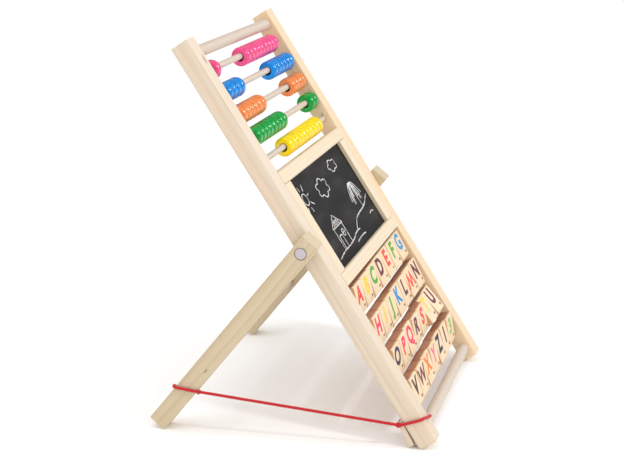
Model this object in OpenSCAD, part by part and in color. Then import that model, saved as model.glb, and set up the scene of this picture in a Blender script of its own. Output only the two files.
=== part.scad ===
// Wooden learning easel for children: an A-frame with an abacus at the top, a chalkboard in the
// middle and four rows of turning letter blocks below. Millimetres, +Z up, front faces -Y.
// The origin is on the floor, midway between the stiles and midway between front and back.

/* [Frame] */
// Side of the square stock that the stiles and the legs are cut from
stock = 18; // [15:0.5:24]
// Length of each stile, which the height of the chalkboard follows
stile_len = 420; // [345:5:520]
// Width of the easel over its two stiles
easel_w = 232; // [190:2:300]
// Angle of the board above the floor, in degrees
lean = 58; // [46:1:70]
// Radius of the sanded long edges of stiles, legs and rails
edge_r = 1.5; // [0.5:0.25:3]

/* [Legs] */
// Height of the leg pivot along the stile
pivot_up = 210; // [170:5:255]
// Depth of the leg pivot behind the front of the stile
pivot_back = 7.5; // [7:0.5:9]
// Length of leg below the pivot
leg_reach = 230; // [190:5:290]
// Length of leg above the pivot
leg_top = 14; // [12:1:30]
// Gap between a leg and the stile beside it
leg_gap = 0.4; // [0.3:0.1:1]

/* [Pivots and dowels] */
// Diameter of the wooden pivot pins
pin_d = 10; // [6:0.5:12]
// Width of the shallow ring sunk round each pivot pin
pin_ring = 1; // [0.5:0.25:1.5]
// Depth of that ring in the face of the leg
pin_ring_depth = 1.2; // [0.5:0.1:3]
// Depth that a pivot pin goes into its stile
pin_socket = 12; // [7:0.5:14]
// Diameter of the two frame dowels and of the leg spreader
dowel_d = 11; // [8:0.5:13.5]
// Depth that a dowel goes into the wood at each end
dowel_socket = 9; // [5:0.5:12]
// Distance of the dowel axes from the ends of the stiles
dowel_inset = 12; // [9:0.5:16]
// Distance of the leg spreader from the pivot
spreader_down = 150; // [110:5:165]
// Radial clearance of a glued joint
glue_fit = 0.05; // [0.02:0.01:0.1]
// Radial clearance of a turning joint
turn_fit = 0.06; // [0.03:0.01:0.1]

/* [Board panel] */
// Width of the upper and lower rails
rail_w = 13; // [10:0.5:20]
// Width of the two side strips of the panel
strip_w = 15; // [10:0.5:22]
// Thickness of the chalkboard sheet
board_t = 4; // [3:0.5:6]
// Depth of the chalkboard behind the face of its frame
board_recess = 4.7; // [2:0.1:7]
// Depth of the grooves that hold the chalkboard
groove_depth = 4; // [3:0.5:6]
// Clearance of the chalkboard in its grooves
board_fit = 0.15; // [0.1:0.05:0.4]

/* [Abacus] */
// Diameter of the bead rods
rod_d = 6; // [4:0.5:8]
// Distance between the bead rods
rod_pitch = 23.5; // [20:0.5:28]
// Distance from the upper rail to the lowest rod
rod_above_rail = 15; // [12:0.5:24]
// Distance from the highest rod to the top dowel
rod_below_dowel = 19; // [16:0.5:28]
// Depth that a rod goes into the wood at each end
rod_socket = 8; // [5:0.5:12]
// Outer diameter of a bead
bead_d = 18.6; // [14:0.2:19.6]
// Thickness of a bead
bead_w = 10.5; // [7:0.25:10.5]
// Diameter of the hole through a bead
bead_hole_d = 8.4; // [8.4:0.1:10]
// Radius of a bead's rounded rim
bead_rim_r = 3.4; // [1:0.1:4]
// Gap left where a bead hangs on its rod
bead_gap = 0.3; // [0.3:0.05:0.5]

/* [Letter blocks] */
// Height of a letter block
block_h = 29; // [24:0.5:31]
// Thickness of a letter block
block_t = 12; // [9:0.5:13]
// Gap between neighbouring blocks of a row
block_gap = 1; // [0.6:0.1:2]
// Gap between the end blocks of a row and the stiles
row_end_gap = 4; // [2:0.5:8]
// Gap between the rows of blocks when all stand straight
row_gap = 4.5; // [3:0.25:8]
// Height of the lowest block axle along the stile
blocks_up = 43; // [40:0.5:60]
// Gap between the turning top row and the lower rail
rail_gap = 0.6; // [0.4:0.1:3]
// Radius of a block's rounded edges
block_edge_r = 1.5; // [0.5:0.25:2.5]
// Diameter of the wire axles of the blocks
axle_d = 3; // [2:0.5:5]
// Depth that an axle goes into the wood at each end
axle_socket = 6; // [4:0.5:10]

/* [Stay cord] */
// Diameter of the cord between the left leg and the left stile
cord_d = 3; // [2:0.5:3]
// Diameter of its knot
knot_d = 6; // [5:0.5:6]
// Length of the wedge held under the cord at the foot of the left stile
wedge_len = 25; // [20:0.5:25]
// Width of that wedge
wedge_w = 12; // [8:0.5:14]
// Thickness of the wedge at its upper end
wedge_top_t = 3.8; // [2:0.2:3.8]
// Thickness of the wedge at its lower end
wedge_foot_t = 6; // [4:0.2:6]
// Gap between the stile and the lower end of the wedge
wedge_splay = 2.3; // [0:0.1:2.3]

/* [Hidden] */
$fn = 48;
cut = 1;

ROD_COUNT = 5;
ROW_COUNT = 4;
COLUMN_COUNT = 7;

inner_w = easel_w - 2 * stock;
inner_x = inner_w / 2;

// Stance: the pivot's place over the rear edge of the stile's foot, and the leg's slope.
pivot_n = stock - pivot_back;
pivot_z = pivot_up * sin(lean) + pivot_n * cos(lean);
pivot_y = pivot_up * cos(lean) - pivot_n * sin(lean);
foot_radius = norm([leg_reach, stock / 2]);
leg_slope = asin(pivot_z / foot_radius) - atan(stock / 2 / leg_reach);
leg_rear = pivot_y + stock / 2 * sin(leg_slope) + leg_reach * cos(leg_slope);
stile_rear = stile_len * cos(lean);
front_y = -stock * sin(lean);
centre_y = (front_y + max(leg_rear, stile_rear)) / 2;

// Heights along the stile, from its foot.
bottom_dowel_up = dowel_inset;
top_dowel_up = stile_len - dowel_inset;
row_pitch = block_h + row_gap;
block_sweep_r = norm([block_h / 2 - block_edge_r, block_t / 2 - block_edge_r]) + block_edge_r;
top_row_up = blocks_up + (ROW_COUNT - 1) * row_pitch;
lower_rail_up = top_row_up + block_sweep_r + rail_gap;
top_rod_up = top_dowel_up - rod_below_dowel;
low_rod_up = top_rod_up - (ROD_COUNT - 1) * rod_pitch;
upper_rail_up = low_rod_up - rod_above_rail - rail_w;
board_low = lower_rail_up + rail_w;
board_high = upper_rail_up;

// Depths: n runs forward from the rear of the stile.
mid_n = stock / 2;
board_front_n = stock - board_recess;
board_rear_n = board_front_n - board_t;

// Blocks fill each row between the stiles.
block_pitch = (inner_w - 2 * row_end_gap + block_gap) / COLUMN_COUNT;
block_w = block_pitch - block_gap;

// A bead hangs on its rod, so its axis is below the rod's.
bead_drop = (bead_hole_d - rod_d) / 2 - bead_gap;

// Runs of beads: name, row from the top, number, side that it starts from, distance from that stile.
BEAD_RUNS = [
    ["pink_bead_left", 0, 1, "left", 9],
    ["pink_beads_right", 0, 9, "right", 12],
    ["blue_beads_left", 1, 4, "left", 5],
    ["blue_beads_right", 1, 6, "right", 1],
    ["orange_beads_left", 2, 6, "left", 6],
    ["orange_beads_right", 2, 4, "right", 1],
    ["green_beads_left", 3, 8, "left", 9],
    ["green_beads_right", 3, 2, "right", 1],
    ["yellow_beads", 4, 10, "right", 28]
];
BEAD_COLOURS = ["hotpink", "dodgerblue", "coral", "mediumseagreen", "gold"];

// Blocks row by row, with the lean of each one's top towards the front, in degrees.
BLOCKS = [
    ["block_a", 19], ["block_b", 17], ["block_c", 13], ["block_d", 8], ["block_e", 6],
    ["block_f", 6], ["block_g", 4],
    ["block_h", 18], ["block_i", 17], ["block_j", 14], ["block_k", 9], ["block_l", 10],
    ["block_m", 7], ["block_n", 6],
    ["block_o", 20], ["block_p", 19], ["block_q", 13], ["block_r", 20], ["block_s", 18],
    ["block_t", -4], ["block_u", -10],
    ["block_v", 14], ["block_w", 16], ["block_x", 13], ["block_y", 18], ["block_z", 12],
    ["block_1", 16], ["block_3", 22]
];

// Routes of the stay cord. The foot loop is in board space from the left stile's outer rear edge,
// the leg loop is in leg space from the left leg's outer face, and the stay is in the easel's space.
FOOT_LOOP_ROUTE = [
    [-1.6, 2, 28.5], [-1.6, -8, 26.5], [-1.6, -16, 25], [-0.8, -18.8, 24.5], [2, -19.6, 24],
    [9, -19.6, 21.5], [16, -19.6, 19.5], [18.8, -18.8, 19], [19.6, -16, 19], [19.6, -8, 20.5],
    [19.6, 0, 24], [18, 3, 27], [14, 5.8, 28.5], [11, 6.2, 28.5], [6, 6.2, 28.5],
    [1, 6.2, 28.5], [-1, 5, 28.5]
];
LEG_LOOP_ROUTE = [
    [-1.6, 8, -185.3], [-1.6, 0, -180], [-1.6, -8, -174.7], [-0.6, -10.2, -173.3],
    [2.4, -10.8, -174], [9, -10.8, -179], [15.6, -10.8, -184.5], [18.6, -10.2, -186.5],
    [19.6, -8, -188], [19.6, 0, -192.5], [19.6, 8, -197], [18.6, 10.2, -197.5],
    [15.6, 10.8, -196.5], [9, 10.8, -191.5], [2.4, 10.8, -187.5], [-0.6, 10.2, -186.7]
];
STAY_ROUTE = [[-135.6, 82.4, 43.2], [-127.6, -8, 33.7], [-119.5, -98, 24.2]];
KNOT_AT = [-3.2, 3, 30];
CORD_SIDES = 8;

// Board space: x across, y behind the board's rear face, z up the stile from its foot.
module on_board() {
    translate([0, -centre_y, 0])
        rotate([lean - 90, 0, 0])
            children();
}

// Leg space: the origin on the pivot axis, z up the leg, y behind it.
module on_legs() {
    translate([0, pivot_y - centre_y, pivot_z])
        rotate([90 - leg_slope, 0, 0])
            children();
}

// A bar along +Z with its four long edges sanded round; x and y start at 0.
module sanded_bar(width, depth, length) {
    linear_extrude(length)
        union() {
            translate([edge_r, 0])
                square([width - 2 * edge_r, depth]);
            translate([0, edge_r])
                square([width, depth - 2 * edge_r]);
            for (x = [edge_r, width - edge_r], y = [edge_r, depth - edge_r])
                translate([x, y])
                    circle(edge_r);
        }
}

// A cylinder along +X that starts at x.
module cross_rod(x, length, diameter) {
    translate([x, 0, 0])
        rotate([0, 90, 0])
            cylinder(d = diameter, h = length);
}

// Places something on the rod, dowel or axle line at a height up the board.
module at_height(up) {
    translate([0, -mid_n, up])
        children();
}

// A row of holes or rods across the easel, one for each height in the list.
module cross_rods(ups, length, diameter) {
    for (up = ups)
        at_height(up)
            cross_rod(-length / 2, length, diameter);
}

function rod_ups() = [for (i = [0 : ROD_COUNT - 1]) top_rod_up - i * rod_pitch];
function row_ups() = [for (i = [0 : ROW_COUNT - 1]) top_row_up - i * row_pitch];

// One stile at the left side, with the blind holes for everything that crosses the easel.
module stile() {
    difference() {
        translate([-easel_w / 2, -stock, 0])
            sanded_bar(stock, stock, stile_len);
        cross_rods([bottom_dowel_up, top_dowel_up], inner_w + 2 * dowel_socket, dowel_d + 2 * glue_fit);
        cross_rods(rod_ups(), inner_w + 2 * rod_socket, rod_d + 2 * glue_fit);
        cross_rods(row_ups(), inner_w + 2 * axle_socket, axle_d + 2 * glue_fit);
        translate([0, -pivot_n, pivot_up])
            cross_rod(-easel_w / 2 - cut, pin_socket + cut, pin_d + 2 * glue_fit);
    }
}

module left_stile() {
    color("burlywood")
        on_board()
            stile();
}

module right_stile() {
    color("burlywood")
        on_board()
            mirror([1, 0, 0])
                stile();
}

// A dowel across the frame, seated in both stiles.
module frame_dowel(up) {
    color("wheat")
        on_board()
            cross_rods([up], inner_w + 2 * (dowel_socket - glue_fit), dowel_d);
}

module top_dowel() {
    frame_dowel(top_dowel_up);
}

module bottom_dowel() {
    frame_dowel(bottom_dowel_up);
}

// The groove for the chalkboard, cut between two heights and two sides.
module board_groove(low, high, half_width) {
    translate([-half_width, -board_front_n - board_fit, low])
        cube([2 * half_width, board_t + 2 * board_fit, high - low]);
}

// A rail across the panel, from the height given, with the chalkboard's groove on its inner edge.
module rail(up, groove_low) {
    color("blanchedalmond")
        on_board()
            difference() {
                translate([-inner_x, 0, up])
                    rotate([90, 0, 90])
                        mirror([1, 0, 0])
                            sanded_bar(stock, rail_w, inner_w);
                board_groove(groove_low, groove_low + groove_depth + cut, inner_x + cut);
            }
}

module lower_rail() {
    rail(lower_rail_up, board_low - groove_depth);
}

module upper_rail() {
    rail(upper_rail_up, board_high - cut);
}

// The left side strip of the panel, with the chalkboard's groove on its inner edge.
module strip() {
    difference() {
        translate([-inner_x, -stock, board_low])
            sanded_bar(strip_w, stock, board_high - board_low);
        board_groove(board_low - cut, board_high + cut, inner_x - strip_w + groove_depth);
    }
}

module left_strip() {
    color("blanchedalmond")
        on_board()
            strip();
}

module right_strip() {
    color("blanchedalmond")
        on_board()
            mirror([1, 0, 0])
                strip();
}

module chalkboard() {
    half_width = inner_x - strip_w + groove_depth - board_fit;
    low = board_low - groove_depth + board_fit;
    high = board_high + groove_depth - board_fit;
    color("darkslategray")
        on_board()
            translate([-half_width, -board_front_n, low])
                cube([2 * half_width, board_t, high - low]);
}

module abacus_rods() {
    color("wheat")
        on_board()
            cross_rods(rod_ups(), inner_w + 2 * (rod_socket - glue_fit), rod_d);
}

module block_axles() {
    color("silver")
        on_board()
            cross_rods(row_ups(), inner_w + 2 * (axle_socket - glue_fit), axle_d);
}

// One leg outside the left stile, with a turning hole for the pin and a blind one for the spreader.
module leg() {
    outer_x = -easel_w / 2 - leg_gap - stock;
    difference() {
        translate([outer_x, -stock / 2, -leg_reach])
            sanded_bar(stock, stock, leg_reach + leg_top);
        cross_rod(outer_x - cut, stock + 2 * cut, pin_d + 2 * turn_fit);
        cross_rod(outer_x - cut, pin_ring_depth + cut, pin_d + 2 * pin_ring);
        translate([0, 0, -spreader_down])
            cross_rod(outer_x + stock - dowel_socket, dowel_socket + cut, dowel_d + 2 * glue_fit);
    }
}

module left_leg() {
    color("tan")
        on_legs()
            leg();
}

module right_leg() {
    color("tan")
        on_legs()
            mirror([1, 0, 0])
                leg();
}

module leg_spreader() {
    length = easel_w + 2 * (leg_gap + dowel_socket - glue_fit);
    color("wheat")
        on_legs()
            translate([0, 0, -spreader_down])
                cross_rod(-length / 2, length, dowel_d);
}

// A pivot pin from the outer face of the left leg into the left stile.
module pivot_pin() {
    outer_x = -easel_w / 2 - leg_gap - stock;
    cross_rod(outer_x, stock + leg_gap + pin_socket - glue_fit, pin_d);
}

module left_pivot_pin() {
    color("gainsboro")
        on_legs()
            pivot_pin();
}

module right_pivot_pin() {
    color("gainsboro")
        on_legs()
            mirror([1, 0, 0])
                pivot_pin();
}

// A run of beads along +X from the origin, hanging on its rod.
module bead_run(count) {
    for (i = [0 : count - 1])
        translate([i * bead_w, 0, 0])
            rotate([0, 90, 0])
                bead();
}

// One bead round +Z: a disc with a rounded rim and a plain hole.
module bead() {
    rim_x = bead_d / 2 - bead_rim_r;
    rotate_extrude()
        intersection() {
            translate([bead_hole_d / 2, 0])
                square([bead_d / 2, bead_w]);
            union() {
                square([rim_x, bead_w]);
                translate([0, bead_rim_r])
                    square([bead_d / 2, bead_w - 2 * bead_rim_r]);
                for (y = [bead_rim_r, bead_w - bead_rim_r])
                    translate([rim_x, y])
                        circle(bead_rim_r);
            }
        }
}

module bead_row(run) {
    up = rod_ups()[run[1]];
    length = run[2] * bead_w;
    x = run[3] == "left" ? run[4] - inner_x : inner_x - run[4] - length;
    color(BEAD_COLOURS[run[1]])
        translate([x, 0, -bead_drop])
            on_board()
                at_height(up)
                    bead_run(run[2]);
}

// One letter block, turned on its axle so that its top leans to the front.
module letter_block(index) {
    row = floor(index / COLUMN_COUNT);
    column = index % COLUMN_COUNT;
    x = row_end_gap - inner_x + column * block_pitch;
    color("navajowhite")
        on_board()
            at_height(row_ups()[row])
                rotate([BLOCKS[index][1], 0, 0])
                    difference() {
                        translate([x, 0, 0])
                            rotate([90, 0, 90])
                                block_body();
                        cross_rod(x - cut, block_w + 2 * cut, axle_d + 2 * turn_fit);
                    }
}

// The block's outline, centred on its axle, pulled along its width.
module block_body() {
    flat_t = block_t - 2 * block_edge_r;
    flat_h = block_h - 2 * block_edge_r;
    linear_extrude(block_w)
        union() {
            square([flat_t, block_h], center = true);
            square([block_t, flat_h], center = true);
            for (x = [-flat_t / 2, flat_t / 2], y = [-flat_h / 2, flat_h / 2])
                translate([x, y])
                    circle(block_edge_r);
        }
}

// The wedge behind the foot of the left stile, splayed from the stile towards its lower end.
module foot_wedge() {
    top_z = 31;
    low_z = top_z - wedge_len;
    color("burlywood")
        on_board()
            translate([-easel_w / 2, 0, 0])
                rotate([90, 0, 90])
                    linear_extrude(wedge_w)
                        polygon([
                            [0, top_z],
                            [wedge_splay, low_z],
                            [wedge_splay + wedge_foot_t, low_z],
                            [wedge_top_t, top_z]
                        ]);
}

// The points round a tube at one place of its route: `along` is the route's direction there.
function tube_ring(place, along, radius) =
    let (
        forward = along / norm(along),
        side = cross(forward, [0, 0, 1]) / norm(cross(forward, [0, 0, 1])),
        over = cross(side, forward)
    )
    [
        for (i = [0 : CORD_SIDES - 1])
            let (turn = 360 * i / CORD_SIDES)
            place + radius * (cos(turn) * side + sin(turn) * over)
    ];

// Side faces between ring a and ring b of a tube.
function tube_sides(a, b) = [
    for (i = [0 : CORD_SIDES - 1])
        let (next = (i + 1) % CORD_SIDES)
        [
            a * CORD_SIDES + i,
            a * CORD_SIDES + next,
            b * CORD_SIDES + next,
            b * CORD_SIDES + i
        ]
];

// A closed ring of cord along a route whose last point joins its first.
module cord_ring(route, diameter) {
    count = len(route);
    points = [
        for (i = [0 : count - 1])
            let (along = route[(i + 1) % count] - route[(i + count - 1) % count])
            each tube_ring(route[i], along, diameter / 2)
    ];
    faces = [for (i = [0 : count - 1]) each tube_sides(i, (i + 1) % count)];
    polyhedron(points, faces, convexity = 6);
}

// An open length of cord with flat ends.
module cord_length(route, diameter) {
    last = len(route) - 1;
    points = [
        for (i = [0 : last])
            let (along = route[min(i + 1, last)] - route[max(i - 1, 0)])
            each tube_ring(route[i], along, diameter / 2)
    ];
    near_end = [for (i = [CORD_SIDES - 1 : -1 : 0]) i];
    far_end = [for (i = [0 : CORD_SIDES - 1]) last * CORD_SIDES + i];
    sides = [for (i = [0 : last - 1]) each tube_sides(i, i + 1)];
    polyhedron(points, concat([near_end], sides, [far_end]), convexity = 4);
}

// The cord round the foot of the left stile and its wedge.
module foot_loop() {
    color("firebrick")
        on_board()
            translate([-easel_w / 2, 0, 0])
                cord_ring(FOOT_LOOP_ROUTE, cord_d);
}

// The knot at the rear edge of the left stile.
module cord_knot() {
    color("firebrick")
        on_board()
            translate([-easel_w / 2, 0, 0])
                translate(KNOT_AT)
                    sphere(d = knot_d);
}

// The cord round the left leg.
module leg_loop() {
    color("firebrick")
        on_legs()
            translate([-easel_w / 2 - leg_gap - stock, 0, 0])
                cord_ring(LEG_LOOP_ROUTE, cord_d);
}

// The taut length between the two loops.
module stay_cord() {
    color("firebrick")
        cord_length(STAY_ROUTE, cord_d);
}

left_stile();
right_stile();
top_dowel();
bottom_dowel();
upper_rail();
lower_rail();
left_strip();
right_strip();
chalkboard();
abacus_rods();
block_axles();
left_pivot_pin();
right_pivot_pin();
left_leg();
right_leg();
leg_spreader();
foot_wedge();
foot_loop();
cord_knot();
leg_loop();
stay_cord();
for (run = BEAD_RUNS)
    bead_row(run);
for (index = [0 : len(BLOCKS) - 1])
    letter_block(index);
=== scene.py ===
"""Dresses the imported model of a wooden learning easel: sawn timber, painted beads on rods, printed
blocks, a chalkboard with a child's drawing and a red stay cord. Metres, +Z up, front faces -Y."""

import logging
import math
import random
from dataclasses import dataclass, field
from enum import Enum
from typing import Iterable, Sequence, Union

import bmesh
import bpy
from mathutils import Euler, Matrix, Vector


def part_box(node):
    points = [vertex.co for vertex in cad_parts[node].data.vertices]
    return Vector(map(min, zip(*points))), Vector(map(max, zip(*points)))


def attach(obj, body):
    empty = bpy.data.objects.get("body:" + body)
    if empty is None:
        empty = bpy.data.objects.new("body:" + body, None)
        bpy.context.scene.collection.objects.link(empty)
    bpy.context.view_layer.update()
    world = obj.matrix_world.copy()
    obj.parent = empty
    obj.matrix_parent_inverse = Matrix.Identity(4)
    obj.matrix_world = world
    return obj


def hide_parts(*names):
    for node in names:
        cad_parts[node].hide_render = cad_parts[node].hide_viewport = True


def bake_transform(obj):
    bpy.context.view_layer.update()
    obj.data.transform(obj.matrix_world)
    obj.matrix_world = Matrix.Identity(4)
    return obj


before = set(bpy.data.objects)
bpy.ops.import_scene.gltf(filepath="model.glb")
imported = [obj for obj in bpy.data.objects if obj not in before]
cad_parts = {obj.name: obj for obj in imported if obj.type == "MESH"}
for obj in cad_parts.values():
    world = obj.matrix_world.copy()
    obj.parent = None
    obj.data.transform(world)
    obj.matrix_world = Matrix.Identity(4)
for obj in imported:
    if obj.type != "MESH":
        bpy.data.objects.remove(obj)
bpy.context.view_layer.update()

LOG = logging.getLogger("easel")
MM = 0.001
TURN = 2 * math.pi
WELD = 0.002 * MM
FLAT_ANGLE = math.radians(0.5)
SHARP_ANGLE = math.radians(50)
UNMOVED = Matrix.Identity(4)

Colour = tuple[float, float, float, float]
Value = Union["Field", float]


def tint(code: str) -> Colour:
    """Turns a display colour into the linear colour that shaders take.

    Args:
        code: Six hexadecimal digits, red first.

    Returns:
        Red, green, blue and an alpha of one.
    """
    parts = [int(code[i:i + 2], 16) / 255 for i in (0, 2, 4)]
    red, green, blue = (c / 12.92 if c <= 0.04045 else ((c + 0.055) / 1.055) ** 2.4 for c in parts)
    return red, green, blue, 1.0


def middle(node: str) -> Vector:
    """The centre of a CAD node's box."""
    low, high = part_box(node)
    return (low + high) / 2


def extents(node: str, space: Matrix) -> tuple[Vector, Vector]:
    """Measures a CAD node along the axes of another space.

    Args:
        node: The node's name.
        space: The matrix from that space to the row frame.

    Returns:
        The node's lowest and highest corners in that space.
    """
    inverse = space.inverted()
    points = [inverse @ vertex.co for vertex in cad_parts[node].data.vertices]
    low = Vector([min(point[axis] for point in points) for axis in range(3)])
    high = Vector([max(point[axis] for point in points) for axis in range(3)])
    return low, high


@dataclass(frozen=True)
class Stance:
    """How the easel stands.

    Board space has x across, y behind the board's rear face and z up the stiles. Leg space has its
    origin on the pivots and z up the legs.
    """

    board: Matrix
    leg: Matrix

    @classmethod
    def from_frame(cls) -> "Stance":
        """Works out both spaces from the CAD nodes that set them."""
        low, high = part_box("left_stile")
        stock = high.x - low.x
        up = middle("top_dowel") - middle("bottom_dowel")
        lean = math.atan2(up.z, up.y)
        foot = Vector((0, low.y + stock * math.sin(lean), 0))
        board = Matrix.Translation(foot) @ Matrix.Rotation(lean - math.pi / 2, 4, "X")
        pivot = middle("left_pivot_pin")
        rise = pivot - middle("leg_spreader")
        turn = math.atan2(-rise.y, rise.z)
        leg = Matrix.Translation((0, pivot.y, pivot.z)) @ Matrix.Rotation(turn, 4, "X")
        return cls(board, leg)

    @property
    def along_stile(self) -> Matrix:
        """Wood space, z along the grain, for what was sawn along the stiles."""
        return self.board.inverted()

    @property
    def along_leg(self) -> Matrix:
        """Wood space for what was sawn along the legs."""
        return self.leg.inverted()

    @property
    def across(self) -> Matrix:
        """Wood space for rails, dowels and rods, whose grain runs from side to side."""
        return Matrix(((0, 1, 0, 0), (0, 0, 1, 0), (1, 0, 0, 0), (0, 0, 0, 1))) @ self.board.inverted()


class Field:
    """A value that varies over a surface: a node's output, with the arithmetic of numbers."""

    def __init__(self, nodes: "Nodes", socket: bpy.types.NodeSocket) -> None:
        """Wraps one output socket of a node tree."""
        self.nodes = nodes
        self.socket = socket

    def maths(self, operation: str, *others: Value) -> "Field":
        """Adds a Math node that takes this field first."""
        return self.nodes.maths(operation, self, *others)

    def __add__(self, other: Value) -> "Field":
        """This field plus another value."""
        return self.maths("ADD", other)

    def __sub__(self, other: Value) -> "Field":
        """This field minus another value."""
        return self.maths("SUBTRACT", other)

    def __rsub__(self, other: Value) -> "Field":
        """Another value minus this field."""
        return self.nodes.maths("SUBTRACT", other, self)

    def __mul__(self, other: Value) -> "Field":
        """This field times another value."""
        return self.maths("MULTIPLY", other)

    def __truediv__(self, other: Value) -> "Field":
        """This field divided by another value."""
        return self.maths("DIVIDE", other)

    def __pow__(self, other: Value) -> "Field":
        """This field to a power."""
        return self.maths("POWER", other)

    def __abs__(self) -> "Field":
        """This field without its sign."""
        return self.maths("ABSOLUTE")

    __radd__ = __add__
    __rmul__ = __mul__

    def fraction(self) -> "Field":
        """What is left of this field past its last whole number."""
        return self.maths("FRACT")

    def least(self, other: Value) -> "Field":
        """The lower of this field and another value."""
        return self.maths("MINIMUM", other)

    def step(self, start: float, end: float) -> "Field":
        """Rises smoothly from 0 at start to 1 at end.

        Args:
            start: The value at which the step begins.
            end: The value at which it is complete.

        Returns:
            The smooth step.
        """
        settings = {"interpolation_type": "SMOOTHSTEP"}
        inputs = {"Value": self, "From Min": start, "From Max": end}
        return self.nodes.add("ShaderNodeMapRange", settings, inputs)


class Nodes:
    """The node tree of a material or of the sky, with the shader that its nodes feed."""

    def __init__(self, owner: Union[bpy.types.Material, bpy.types.World], shader: str) -> None:
        """Takes up a new owner's tree and the shader in it."""
        owner.use_nodes = True
        self.owner = owner
        self.tree = owner.node_tree
        self.shader = self.tree.nodes[shader]

    @classmethod
    def of_material(cls, name: str) -> "Nodes":
        """Starts a material that holds a Principled shader alone."""
        return cls(bpy.data.materials.new(name), "Principled BSDF")

    def add(self, kind: str, settings: dict, inputs: dict, output: Union[int, str] = 0) -> Field:
        """Adds one node.

        Args:
            kind: The node's type.
            settings: Its own properties, which are set first.
            inputs: The value or the field for each input, by name or place.
            output: The output that is wanted.

        Returns:
            The output as a field.
        """
        node = self.tree.nodes.new(kind)
        for name, value in settings.items():
            setattr(node, name, value)
        self.feed(node, inputs)
        return Field(self, node.outputs[output])

    def feed(self, node: bpy.types.Node, inputs: dict) -> None:
        """Sets or links a node's inputs.

        Args:
            node: The node.
            inputs: The value or the field for each input, by name or place.
        """
        for name, value in inputs.items():
            if isinstance(value, Field):
                self.tree.links.new(value.socket, node.inputs[name])
            else:
                node.inputs[name].default_value = value

    def maths(self, operation: str, *values: Value) -> Field:
        """Adds a Math node over the values."""
        return self.add("ShaderNodeMath", {"operation": operation}, dict(enumerate(values)))

    def place(self, space: Matrix = UNMOVED, shift: Sequence[float] = (0, 0, 0)) -> Field:
        """Object coordinates, carried into another space.

        Args:
            space: The matrix from the row frame to that space.
            shift: What is added to the coordinates there.

        Returns:
            The coordinates as a vector field.
        """
        point = self.add("ShaderNodeTexCoord", {}, {}, "Object")
        shifted = Vector(shift) + space.to_translation()
        inputs = {"Vector": point, "Location": shifted, "Rotation": space.to_euler()}
        return self.add("ShaderNodeMapping", {}, inputs)

    def stretch(self, vector: Field, scale: Sequence[float]) -> Field:
        """A vector field, scaled along each axis."""
        return self.add("ShaderNodeVectorMath", {"operation": "MULTIPLY"}, {0: vector, 1: scale})

    def split(self, vector: Field) -> list[Field]:
        """The three parts of a vector field."""
        first = self.add("ShaderNodeSeparateXYZ", {}, {0: vector})
        return [first, *(Field(self, first.socket.node.outputs[i]) for i in (1, 2))]

    def noise(self, vector: Field, scale: float, detail: float = 2.0) -> Field:
        """A noise from 0 to 1 at a scale, in lumps per metre."""
        inputs = {"Vector": vector, "Scale": scale, "Detail": detail}
        return self.add("ShaderNodeTexNoise", {}, inputs)

    def mix(self, factor: Value, first: Union[Field, Colour], second: Union[Field, Colour]) -> Field:
        """Mixes two colours.

        Args:
            factor: How much of the second colour there is, from 0 to 1.
            first: The colour at 0.
            second: The colour at 1.

        Returns:
            The mixed colour.
        """
        return self.add("ShaderNodeMix", {"data_type": "RGBA"}, {0: factor, 6: first, 7: second}, 2)

    def surface(self, height: Field, depth: float, **inputs: Union[Value, Colour]) -> bpy.types.Material:
        """Completes the material.

        Args:
            height: The relief, from 0 to 1.
            depth: How deep the relief is, in metres.
            inputs: The shader's other inputs, with _ for each space in a name.

        Returns:
            The material.
        """
        bump = self.add("ShaderNodeBump", {}, {"Height": height, "Distance": depth, "Strength": 1.0})
        named = {name.replace("_", " "): value for name, value in inputs.items()}
        self.feed(self.shader, {"Normal": bump, **named})
        return self.owner


@dataclass(frozen=True)
class Knot:
    """A small dark knot, longer along the grain than across. Its middle is in wood space."""

    middle: Vector
    radius: float
    colour: str = "6E5842"
    darkness: float = 0.65
    slimness: float = 0.36
    raggedness: float = 0.6

    def darken(self, nodes: Nodes, space: Matrix, fibre: Field, colour: Field) -> Field:
        """Adds the knot's nodes.

        Args:
            nodes: The tree to add them to.
            space: The matrix from the row frame to wood space.
            fibre: The timber's fibre, which frays the knot's edge.
            colour: The timber's colour.

        Returns:
            The colour of the timber with the knot in it.
        """
        here = nodes.stretch(nodes.place(space, -self.middle), (1, 1, self.slimness))
        x, y, z = nodes.split(here)
        reach = (x * x + y * y + z * z) ** 0.5 / self.radius + fibre * self.raggedness
        return nodes.mix((1 - reach.step(0.5, 1.5)) * self.darkness, colour, tint(self.colour))


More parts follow.
